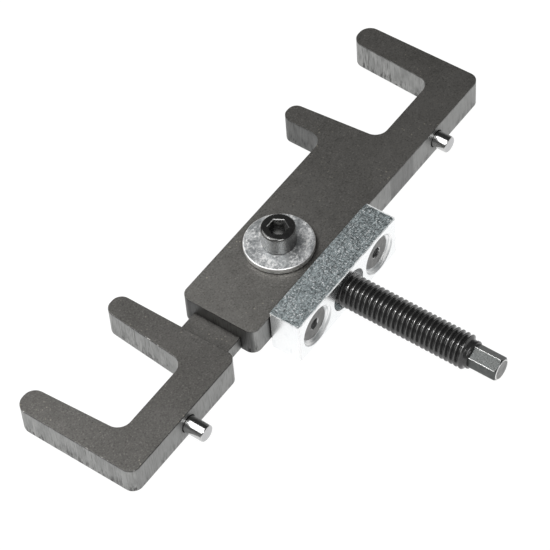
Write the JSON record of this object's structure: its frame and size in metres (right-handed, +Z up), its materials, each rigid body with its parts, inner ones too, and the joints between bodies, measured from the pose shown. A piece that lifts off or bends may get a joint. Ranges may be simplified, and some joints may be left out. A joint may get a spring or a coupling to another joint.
{
  "type": "gear puller",
  "caption": "Flat forked gear puller: fixed fork bar, sliding clamped fork, threaded spindle in a block on the back edge, and a dowel pin on each fork.",
  "frame": {"origin": "centre of the spindle block's underside", "axes": "+X along the bar towards the fixed fork, +Y towards the finger tips, +Z up through the plate's thickness; the spindle points along -Y"},
  "size_m": [0.2684, 0.1606, 0.0336],
  "materials": {
    "blued_plate": "dark oiled black-oxide steel plate, fine scale and handling marks, satin",
    "zinc_block": "bright zinc-plated, milled cross-hatch, satin",
    "zinc_washer": "dull zinc-plated stamped washer, speckled",
    "black_screw": "black-oxide, semi-gloss",
    "black_thread": "black-oxide rolled thread, oiled, with grey worn drive end",
    "ground_pin": "ground and polished hardened pin",
    "steel_nut": "milled bright steel"
  },
  "bodies": {
    "bar": {"main_bar": "blued_plate", "fixed_fork_pin": "ground_pin", "spindle_block": "zinc_block", "block_screw_left": "black_screw", "block_screw_right": "black_screw"},
    "sliding_fork": {"sliding_fork_arm": "blued_plate", "sliding_fork_pin": "ground_pin"},
    "washer": {"clamp_washer": "zinc_washer"},
    "clamp_bolt": {"clamp_screw": "black_screw"},
    "nut": {"spindle_nut": "steel_nut"},
    "pressure_tip": {"spindle_pressure_tip": "ground_pin"},
    "spindle": {"spindle": "black_thread"}
  },
  "joints": [
    {"name": "fork_slide", "type": "slide", "parent": "bar", "child": "sliding_fork", "axis": [-1, 0, 0], "range_m": [-0.01, 0.01]},
    {"name": "clamp_lift", "type": "slide", "parent": "sliding_fork", "child": "washer", "axis": [0, 0, 1], "range_m": [0, 0.003]},
    {"name": "clamp_turn", "type": "hinge", "parent": "washer", "child": "clamp_bolt", "pos_m": [-0.002, 0.0279, 0.0236], "axis": [0, 0, 1], "range_deg": [0, 720]},
    {"name": "nut_shift", "type": "slide", "parent": "bar", "child": "nut", "axis": [1, 0, 0], "range_m": [-0.003, 0.003]},
    {"name": "spindle_feed", "type": "slide", "parent": "nut", "child": "pressure_tip", "axis": [0, -1, 0], "range_m": [0, 0.005]},
    {"name": "spindle_turn", "type": "hinge", "parent": "pressure_tip", "child": "spindle", "pos_m": [0, 0.005, 0.0115], "axis": [0, -1, 0], "range_deg": [0, 720]}
  ],
  "couplings": [
    {"joint": "clamp_turn", "follows": "clamp_lift", "rad_per_m": 4188.8},
    {"joint": "spindle_turn", "follows": "spindle_feed", "rad_per_m": 2513.3}
  ]
}
